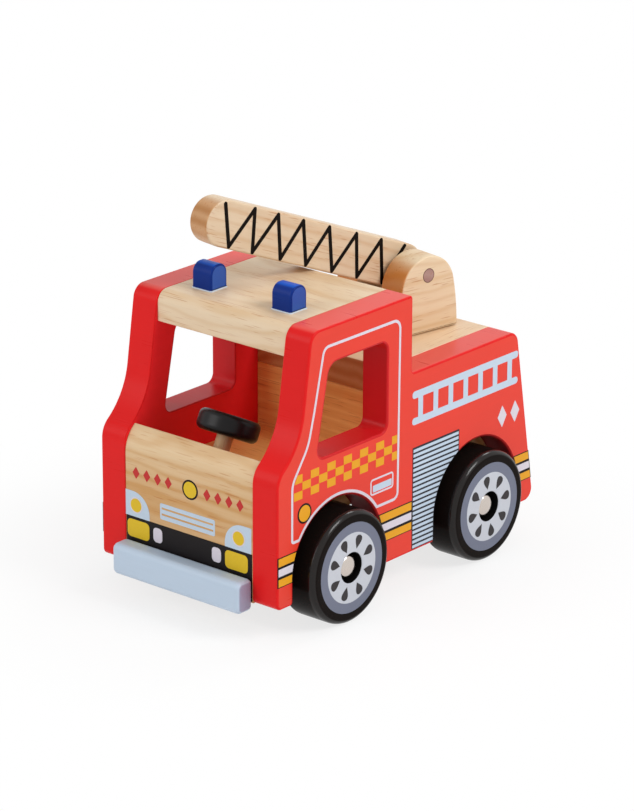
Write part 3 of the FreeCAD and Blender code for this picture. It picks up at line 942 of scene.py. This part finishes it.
def cheek_outline():
    """Each side is one arc that starts upright at the foot and runs into the round head
    without a corner. With half foot h, head radius r and rise c between the two centres'
    heights, its radius is (h squared + c squared - r squared) / (2 (h - r))."""
    head_z = turret_height - ear_head_radius
    rise, spread = head_z - lift, ear_foot_half - ear_head_radius
    bow = (ear_foot_half ** 2 + rise ** 2 - ear_head_radius ** 2) / (2 * spread)
    touch = math.degrees(math.atan2(rise, bow - ear_foot_half))
    inset, lean = bow - ear_foot_half, 0.6
    foot = bow / math.cos(math.radians(lean)) - inset
    return rounded([(-foot, lift, ear_foot_round), (foot, lift, ear_foot_round),
                    arc_corner((-inset, lift), bow, lean, touch),
                    arc_corner((0, head_z), ear_head_radius, touch, 90),
                    arc_corner((0, head_z), ear_head_radius, 90, 180 - touch),
                    arc_corner((inset, lift), bow, 180 - touch, 180 - lean)], 16)


print("cheek top at %.2f of %.2f" % (cheek_outline()[:, 1].max(), turret_height))

# %% Cheeks, block, boom and pin
turret_grain, boom_grain = swivel @ [0, -1, 0], swivel @ raking @ [0, -1, 0]
cheek_wood = timber("cheek_wood", turret_grain, 83.0, pale=(232, 208, 173),
                    honey=(213, 174, 126), end=(210, 134, 62), end_light=(214, 150, 92))
boom_wood = timber("boom_wood", boom_grain, 7.0, pale=(226, 202, 171), honey=(207, 167, 124),
                   end=(180, 124, 70), end_light=(206, 158, 112))
dowel_end = timber("dowel_end_wood", swivel @ [1, 0, 0], 51.0, end=(160, 122, 114),
                   end_light=(176, 144, 134))
ring_print = ink("pin_ring_stain", (96, 62, 50), gloss=0.6)
for side_name, side in sides.items():
    near, far = sorted((side * slot_half, side * turret_half))
    arris = (inner_arris, outer_arris)[::side]
    make_piece("turret_cheek_" + side_name,
               placed(board([cheek_outline()], near, far, arris), on_turret), [cheek_wood],
               "turret", ["turret_ear_" + side_name], "natural_wood")
block = board([quad((-ear_foot_half, ear_foot_half), (lift, block_height), block_round)],
              -slot_half, slot_half)
make_piece("turret_block", placed(block, on_turret), [cheek_wood], "turret", ["turret_base"],
           "natural_wood")
bar = board([quad((-boom_reach, boom_half), (-boom_half, boom_half), boom_half, 20)],
            -boom_thickness / 2, boom_thickness / 2, (outer_arris, outer_arris))
make_piece("boom_bar", placed(bar, on_boom), [boom_wood], "boom", ["boom"], "natural_wood")


def pin_piece(name, radius, half, material, stands_for=()):
    """Round dowel across the turret on the boom's hinge axis."""
    profile = quad((-half, half), (0, radius), [0, 0, pin_round, pin_round], 3)
    centre = swivel @ [0, 0, pin_z] + turret_place
    make_piece(name, lathed(profile, centre, swivel @ [1, 0, 0], 48), [material], "turret",
               stands_for, "pin_dowel" if stands_for else None)


pin_proud = 0.06            # the dowel's end stands out of the cheek, its ring half as far
pin_piece("hinge_pin", pin_radius - pin_ring_width, turret_half + pin_proud, dowel_end,
          ["boom_pin"])
pin_piece("hinge_pin_ring", pin_radius, turret_half + pin_proud / 2, ring_print)

# %% [markdown]
# ## Printing on the painted wood
# The toy is decorated by printing pads: white door lines, a band of stripes, chequers, a
# slatted locker and a ladder. As a picture these edges would blur when someone comes
# close. Each print is instead a film of ink with its own outline, a few hundredths of a
# millimetre proud of the paint, and ink over ink lies one film higher.

# %% Films of ink
film, buried = 0.06, 0.25
CORNER_STEPS = 5            # a printed corner is small, so few steps draw its round
white_ink = ink("white_print", (214, 207, 217))
yellow_ink = ink("amber_print", (226, 158, 20))
pale_blue_ink = ink("pale_blue_print", (190, 206, 222))
black_ink = ink("black_print", (22, 17, 18), shine=0.14)
lattice_ink = ink("lattice_print", (18, 12, 9), shine=0.06)
slat_ink = ink("slat_line_print", (34, 32, 42))
lamp_ink = ink("lamp_yellow_print", (220, 184, 32))
red_ink = ink("red_print", (190, 42, 40))


def film_of(loops, layer=1):
    """Film of ink: from inside the wood to its layer's height above it."""
    return board(loops, -buried, film * layer)


def line_round(outline, width):
    """Line along a closed outline: the outline moved out and in by half the width."""
    loop = left_handed(outline)
    return [drawn_in(loop, [-width / 2])[0], drawn_in(loop, [width / 2])[0]]


def print_on_sides(name, shape, material):
    """The same print on both side panels, mirrored: (y, z) and the depth out of the face."""
    for side_name, side in sides.items():
        flat = placed(shape, lambda points: np.stack(
            [side * (outer_x + points[..., 2]), points[..., 0], points[..., 1]], -1))
        make_piece(name + "_" + side_name, flat, [material])


print("one film of ink is", film, "mm")

# %% The door line and the handle
line_width, handle_line_width = 1.1, 0.7
front_axle, rear_axle = axle_places["front"], axle_places["rear"]
door_arch_centre = (front_axle[1], front_axle[2] + arch_rise)
arch_margin, foot_turn = 0.7, 1.5   # gap to the arch, and degrees left to the foot's round
door_arch_radius = wheel_radius + arch_gap + outer_arris + arch_margin
door_foot_z, door_head_z = 24.6, 95.2
foot_rise = door_foot_z - door_arch_centre[1]
door_turn = math.degrees(math.asin(foot_rise / door_arch_radius)) + foot_turn
door_run = ((door_arch_radius - foot_rise * math.sin(math.radians(door_turn)))
            / math.cos(math.radians(door_turn)))
door_outline = rounded([
    (8.3, door_foot_z, 1.0), (8.3, 47.2, 9), (17.2, 59.8, 22), (20.6, 72.4, 60),
    (26.0, door_head_z, 3.2), (69.5, door_head_z, 3.6), (68.9, door_foot_z, 2.6),
    (door_arch_centre[0] + door_run, door_foot_z, 0.3),
    arc_corner(door_arch_centre, door_arch_radius, door_turn, 90),
    arc_corner(door_arch_centre, door_arch_radius, 90, 180 - door_turn),
    (door_arch_centre[0] - door_run, door_foot_z, 0.3)], 16)
print_on_sides("door_line", film_of(line_round(door_outline, line_width)), white_ink)
handle_frame = quad((53.2, 66.0), (30.1, 35.9), 1.0, CORNER_STEPS)
handle_grip = quad((54.3, 65.3), (30.9, 33.6), 0.3, CORNER_STEPS)
print_on_sides("handle_line", film_of(line_round(handle_frame, handle_line_width)), white_ink)
print_on_sides("handle_fill", film_of([handle_grip]), pale_blue_ink)

# %% The band of stripes
arch_overlap, front_overlap = 0.3, 0.5      # how far a print runs onto a sanded arris
print_arch_radius = wheel_radius + arch_gap + outer_arris - arch_overlap
front_margin_y = outer_arris - front_overlap
band_rear_y, edge_line = 77.7, 0.4


def arch_reach(z):
    """Half the width of a wheel arch at height z, with the arris: straight below the
    springing, and from there sqrt(r squared - height squared)."""
    above = np.clip(z - front_axle[2] - arch_rise, 0, None)
    return np.sqrt(np.maximum(print_arch_radius ** 2 - above ** 2, 0))


def strip(low_z, high_z, left, right, end_line=0.0):
    """Strip between two edges that are functions of height: up the right and down the
    left, each drawn in by the line at its ends."""
    z = np.linspace(low_z, high_z, 10)
    return np.vstack([np.stack([right(z) - end_line, z], 1),
                      np.stack([left(z) + end_line, z], 1)[::-1]])


def upright(y):
    """Upright edge at one place, as a function of height."""
    return lambda z: np.full_like(z, y)


band_spans = [(upright(front_margin_y), lambda z: front_axle[1] - arch_reach(z)),
              (lambda z: front_axle[1] + arch_reach(z), upright(band_rear_y)),
              (lambda z: rear_axle[1] + arch_reach(z), lambda z: tail_line(z, front_margin_y))]


def print_band(name, rows, material, layer=1, end_line=0.0):
    """Rows of the band, each between two heights, on all three parts of a side."""
    films = [film_of([strip(*row, *span, end_line)], layer) for row in rows for span in band_spans]
    print_on_sides(name, together(films), material)


print_band("band_black", [(9.1, 20.9)], black_ink)
print_band("band_amber", [(9.45, 12.4), (17.4, 20.5)], yellow_ink, 2, edge_line)
print_band("band_white", [(13.5, 16.4)], white_ink, 2, edge_line)

# %% Chequers
chequer_length, chequer_height, chequer_y, chequer_z = 4.67, 3.2, 9.3, 40.45
door_slant_z, door_slant_y, chequers_end_y = [45.2, 48.4, 53.5], [9.0, 10.0, 13.8], 68.4


def cells(y0, y1, z0, z1):
    """Corners of many upright rectangles at once, against the clock."""
    y0, y1, z0, z1 = np.broadcast_arrays(*np.atleast_1d(y0, y1, z0, z1))
    return np.stack([np.stack([y0, y1, y1, y0], 1), np.stack([z0, z0, z1, z1], 1)], -1)


column, level = np.meshgrid(np.arange(13), np.arange(3), indexing="ij")
column, level = (grid[(column + level) % 2 == 0] for grid in (column, level))
left, foot = chequer_y + chequer_length * column, chequer_z + chequer_height * level
chequers = cells(left, left + chequer_length, foot, foot + chequer_height)
slanted_door_y = np.interp(chequers[..., 1], door_slant_z, door_slant_y)
chequers[..., 0] = np.clip(chequers[..., 0], slanted_door_y, chequers_end_y)
print_on_sides("chequers", tiles(chequers, -buried, film), yellow_ink)

# %% The slatted locker
locker_left, locker_right, locker_top, locker_foot = band_rear_y, 105.9, 41.95, 0.9
slat_pitch, slat_line, slats, locker_edge_line = 1.935, 0.78, 21, 0.45
arch_centre = (rear_axle[1], rear_axle[2] + arch_rise)
arch_left = rear_axle[1] - print_arch_radius
meet_angle = math.degrees(math.acos((locker_right - rear_axle[1]) / print_arch_radius))
meet_z = arch_centre[1] + print_arch_radius * math.sin(math.radians(meet_angle))
locker_outline = rounded([
    (locker_left, locker_foot, 0.2), (arch_left, locker_foot, 0.2),
    arc_corner(arch_centre, print_arch_radius, meet_angle, 180),
    (locker_right, meet_z, 0), (locker_right, locker_top, 0.3),
    (locker_left, locker_top, 0.3)], 24)
print_on_sides("locker_lines", film_of([locker_outline]), slat_ink)
slat_foot = locker_foot + slat_line / 2 + slat_pitch * np.arange(slats)
slat_cells = cells(locker_left + locker_edge_line, locker_right, slat_foot,
                   slat_foot + slat_pitch - slat_line)
locker_edge_y = np.minimum(locker_right, rear_axle[1] - arch_reach(slat_cells[..., 1]))
slat_cells[..., 0] = np.minimum(slat_cells[..., 0], locker_edge_y - locker_edge_line)
print_on_sides("locker_slats", tiles(slat_cells, -buried, film * 2), pale_blue_ink)

# %% The ladder
rung_width, rung_pitch, rungs, first_rung = 2.8, 9.1, 7, 80.7
rail_y, rail_round, lower_rail, upper_rail = (77.2, 141.9), 1.3, (51.0, 53.8), (61.5, 64.4)
rail_films = [film_of([quad(rail_y, rail_z, rail_round, CORNER_STEPS)])
              for rail_z in (lower_rail, upper_rail)]
rung_y = first_rung + rung_pitch * np.arange(rungs)
rung_cells = cells(rung_y, rung_y + rung_width, lower_rail[1], upper_rail[0])
print_on_sides("ladder", together(rail_films + [tiles(rung_cells, -buried, film)]), pale_blue_ink)

# %% [markdown]
# ## Printing on the nose and the boom
# The nose carries a black apron with lamps in it, two corner lamps and a slatted grille.
# Plain marks fill the places between: a row of red lozenges each side of an amber disc,
# and two white lozenges on the tail. The boom's lattice is one zigzag line,
# and its points are listed because they are printed a little unevenly.

# %% The nose
nose_middle = -0.8          # the pads were set down a little off the toy's middle


def on_nose(points):
    """Print on the nose board: (x, z) and the depth out of its front face."""
    return np.stack([points[..., 0], nose_y - points[..., 2], points[..., 1]], -1)


def print_on_nose(name, prints, material, layer):
    """Films of ink on the nose board, each a list of loops about the print's middle."""
    films = [film_of([loop + [nose_middle, 0] for loop in loops], layer) for loops in prints]
    make_piece(name, placed(together(films), on_nose), [material])


def disc(a, b, radius):
    """Round outline."""
    return quad((a - radius, a + radius), (b - radius, b + radius), radius, 12)


def lozenge(a, b, width, height):
    """Diamond with barely rounded corners."""
    return rounded([(a - width / 2, b, 0.2), (a, b - height / 2, 0.2), (a + width / 2, b, 0.2),
                    (a, b + height / 2, 0.2)], 4)


def pair(outline):
    """An outline and its mirror image about the middle of the print."""
    return [[outline], [outline * [-1, 1]]]


apron_heights, board_margin, patch_margin = (0.6, 19.3), 0.3, 0.7
apron_half = inner_x - board_margin
apron = quad((-apron_half - nose_middle, apron_half - nose_middle), apron_heights, 0.15,
             CORNER_STEPS)
fog_lamp = quad((18.9, 30.0), (11.0, 18.1), 1.8, CORNER_STEPS)
side_lamp = quad((12.4, 16.9), (11.8, 17.6), 1.6, CORNER_STEPS)
lamp_patch = quad((18.75, inner_x - patch_margin - nose_middle), (apron_heights[1], 29.4),
                  [0.2, 0.2, 0.6, 8.5])
headlamp_x, headlamp_z, headlamp_radius, headlamp_rim = 25.5, 24.0, 2.7, 0.5
grille_x, grille_z, slot_inset, slot_height = (-13.4, 13.9), (21.7, 28.1), 0.8, 0.75
grille = [quad(grille_x, grille_z, 0.7, CORNER_STEPS)]
for slot_z in (23.35, 25.75):
    grille.append(quad((grille_x[0] + slot_inset, grille_x[1] - slot_inset),
                       (slot_z, slot_z + slot_height), 0.1, CORNER_STEPS))
mark_z, mark_start, mark_pitch, mark_middle, mark_size = 37.0, 9.6, 5.4, 0.4, (3.5, 4.9)
marks = [[lozenge(side * (mark_start + mark_pitch * k) + mark_middle, mark_z, *mark_size)]
         for side in (-1, 1) for k in range(4)]
badge_x, badge_radius, badge_rim = 1.7, 3.9, 0.75
badge_radii = (badge_radius, badge_radius - badge_rim)
for name, prints, material, layer in (
        ("apron", [[apron]], black_ink, 1), ("fog_lamps", pair(fog_lamp), lamp_ink, 2),
        ("side_lamps", pair(side_lamp), white_ink, 2),
        ("lamp_patches", pair(lamp_patch), pale_blue_ink, 1),
        ("lamp_rims", pair(disc(headlamp_x, headlamp_z, headlamp_radius + headlamp_rim)),
         white_ink, 2),
        ("lamps", pair(disc(headlamp_x, headlamp_z, headlamp_radius)), lamp_ink, 3),
        ("grille", [grille], pale_blue_ink, 1), ("marks", marks, red_ink, 1),
        ("badge_rim", [[disc(badge_x, mark_z, badge_radii[0])]], black_ink, 1),
        ("badge", [[disc(badge_x, mark_z, badge_radii[1])]], lamp_ink, 2)):
    print_on_nose("nose_" + name, prints, material, layer)

# %% Marks on the sides
door_badge, tail_mark_size, tail_mark_z = (15.2, 34.3), (5.6, 9.0), 39.7
for name, radius, material, layer in (("door_badge_rim", badge_radii[0], black_ink, 1),
                                      ("door_badge", badge_radii[1], yellow_ink, 2)):
    print_on_sides(name, film_of([disc(*door_badge, radius)], layer), material)
tail_marks = [film_of([lozenge(y, tail_mark_z, *tail_mark_size)]) for y in (132.6, 140.6)]
print_on_sides("tail_marks", together(tail_marks), white_ink)

# %% The boom's lattice
lattice_width, lattice_height, first_top = 1.65, 7.9, 7.2
lattice_reach = np.array([97.0, 89.7, 82.4, 77.7, 70.4, 63.3, 57.4, 50.0, 43.7, 36.2, 29.3, 22.8,
                          16.0, 9.2, 3.2])


def stroke(path, width):
    """Line along an open path. Its edges lie half a width to each side, along the mitre
    of the two normals at a bend, and the outer corner of each bend is rounded about the
    bend itself."""
    way = unit(np.diff(path, axis=0))
    path = path.copy()
    path[0] -= way[0] * width / 2
    path[-1] += way[-1] * width / 2
    normal = np.stack([-way[:, 1], way[:, 0]], 1)
    before = np.vstack([normal[:1], normal])
    after = np.vstack([normal, normal[-1:]])
    mitre = (before + after) / (1 + (before * after).sum(1))[:, None] * width / 2
    bend = np.sign(before[:, 0] * after[:, 1] - before[:, 1] * after[:, 0])
    end = np.arange(len(path)) % (len(path) - 1) == 0
    left_round = np.where(end | (bend < 0), width / 2, 0) * 0.98
    right_round = np.where(end | (bend > 0), width / 2, 0) * 0.98
    left = np.column_stack([path + mitre, left_round])
    right = np.column_stack([path - mitre, right_round])
    return rounded(np.vstack([left, right[::-1]]), 6)


height = lattice_height * (-1.0) ** np.arange(len(lattice_reach))
height[0] = first_top
lattice = stroke(np.stack([-lattice_reach, height], 1), lattice_width)
for side_name, side in sides.items():
    outward = placed(film_of([lattice]), lambda points: np.stack(
        [points[..., 0], points[..., 1], side * (boom_thickness / 2 + points[..., 2])], -1))
    make_piece("boom_lattice_" + side_name, placed(outward, on_boom), [lattice_ink], "boom")

# %% [markdown]
# ## What stays as the solid
# The axle blocks, the axles and the swivel pin lie under the body. Their solids are
# right as they are, and only take a finish.

# %% Finishes for the remaining solids
block_wood = timber("axle_block_wood", cross_grain, 95.0, pale=(220, 184, 134))
plain_finishes = {"axle_block_front": block_wood, "axle_block_rear": block_wood,
                  "axle_front": axle_steel, "axle_rear": axle_steel, "turret_pivot": axle_steel}
for name, finish in plain_finishes.items():
    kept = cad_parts[name].data.materials
    kept.clear()
    kept.append(finish)
    print(name, "takes", finish.name)

# %% [markdown]
# ## Floor and light
# A product like this is shown on white. More light would wash out the paint, so the
# white comes from the floor and the world themselves: what the camera or a reflection
# sees of them is partly their own glow, while the toy is lit at a plain level by a pale
# sky and three soft lamps: one at its side, one in front and a small one behind that
# draws a thin highlight along the wheels. The floor still takes the toy's shadow.

# %% Floor
floor_half = 4.0
floor_mesh = bpy.data.meshes.new("studio_floor")
floor_mesh.from_pydata([(-floor_half, -floor_half, 0), (floor_half, -floor_half, 0),
                        (floor_half, floor_half, 0), (-floor_half, floor_half, 0)], [],
                       [(0, 1, 2, 3)])
floor = bpy.data.objects.new("studio_floor", floor_mesh)
bpy.context.scene.collection.objects.link(floor)


def seen_directly(tree):
    """1 for what the camera, a reflection or a clear piece sees, and 0 for other light."""
    path = tree.nodes.new("ShaderNodeLightPath")
    seen = Socket(tree, path.outputs["Is Camera Ray"])
    for name in ("Is Glossy Ray", "Is Transmission Ray"):
        seen = seen.math("MAXIMUM", seen, Socket(tree, path.outputs[name]))
    return seen


def glow(tree, kind, strength):
    """Emission or Background node of plain white at a strength."""
    node = tree.nodes.new("ShaderNode" + kind)
    node.inputs["Color"].default_value = (1, 1, 1, 1)
    node.inputs["Strength"].default_value = strength
    return Socket(tree, node.outputs[0])


def mixed(amount, first, second):
    """Mix Shader between two shaders."""
    return amount.node("MixShader", {}, {0: amount, 1: first, 2: second})


floor_material = bpy.data.materials.new("pale_floor")
floor_material.use_nodes = True
tree = floor_material.node_tree
tree.nodes.clear()
floor_glow, glow_starts, glow_full = 0.76, 0.06, 0.18
seen = seen_directly(tree)
floor_place = Socket(tree, tree.nodes.new("ShaderNodeTexCoord").outputs["Object"])
from_toy = floor_place.node("VectorMath", {"operation": "LENGTH"}, {0: floor_place},
                            output="Value")
own_light = step_between(from_toy, glow_starts, glow_full) * (1 - floor_glow) + floor_glow
paper = seen.node("BsdfDiffuse", {}, {"Color": (0.94, 0.94, 0.94, 1)})
floor_look = mixed(seen * own_light, paper, glow(tree, "Emission", 1.0))
tree.links.new(floor_look.source,
               tree.nodes.new("ShaderNodeOutputMaterial").inputs["Surface"])
floor_mesh.materials.append(floor_material)
print("floor", 2 * floor_half, "m wide")

# %% World and lamps
sky_strength, toy_middle = 0.5, Vector((0, 0, 0.06))
world = bpy.data.worlds.new("studio_sky")
bpy.context.scene.world = world
world.use_nodes = True
tree = world.node_tree
tree.nodes.clear()
sky = mixed(seen_directly(tree), glow(tree, "Background", sky_strength),
            glow(tree, "Background", 1.0))
tree.links.new(sky.source, tree.nodes.new("ShaderNodeOutputWorld").inputs["Surface"])


def softbox(name, place, size, watts):
    """Square lamp that faces the middle of the toy."""
    data = bpy.data.lights.new(name, "AREA")
    data.shape = "SQUARE"
    data.size = size
    data.energy = watts
    lamp = bpy.data.objects.new(name, data)
    lamp.location = place
    lamp.rotation_euler = (toy_middle - Vector(place)).to_track_quat("-Z", "Y").to_euler()
    bpy.context.scene.collection.objects.link(lamp)
    print(name, "%.1f W" % watts)


softbox("key_softbox", (1.13, 0.26, 1.15), 0.65, 13.0)
softbox("rear_softbox", (0.1, 1.15, 1.2), 0.35, 3.2)
softbox("front_softbox", (-0.6, -1.3, 0.8), 0.9, 7.6)

# %% [markdown]
# ## Camera
# The camera looks down on the toy's front left corner from far off with a long lens, so
# its edges hardly draw together. Azimuth, elevation, distance and lens were found by
# matching the toy's corners to where the photograph shows them, and the last fraction
# of a degree is the camera's own tilt.

# %% Camera
azimuth, elevation, tilt = (math.radians(angle) for angle in (40.2672, 19.8077, 0.22202))
distance, target, lens = 1.44785, Vector((0.00086, 0, 0.0637)), 168.84
back = Vector((math.sin(azimuth) * math.cos(elevation), -math.cos(azimuth) * math.cos(elevation),
               math.sin(elevation)))
level_right = Vector((math.cos(azimuth), math.sin(azimuth), 0))
level_up = back.cross(level_right)
right = level_right * math.cos(tilt) + level_up * math.sin(tilt)
up = level_up * math.cos(tilt) - level_right * math.sin(tilt)
camera_data = bpy.data.cameras.new("studio_camera")
camera_data.lens = lens
camera_data.clip_end = 20
camera = bpy.data.objects.new("studio_camera", camera_data)
camera.matrix_world = Matrix.Translation(target + back * distance) @ Matrix(
    (right, up, back)).transposed().to_4x4()
bpy.context.scene.collection.objects.link(camera)
bpy.context.scene.camera = camera
bpy.context.scene.view_settings.view_transform = "Standard"
print("camera at", tuple(round(v, 4) for v in camera.matrix_world.translation))
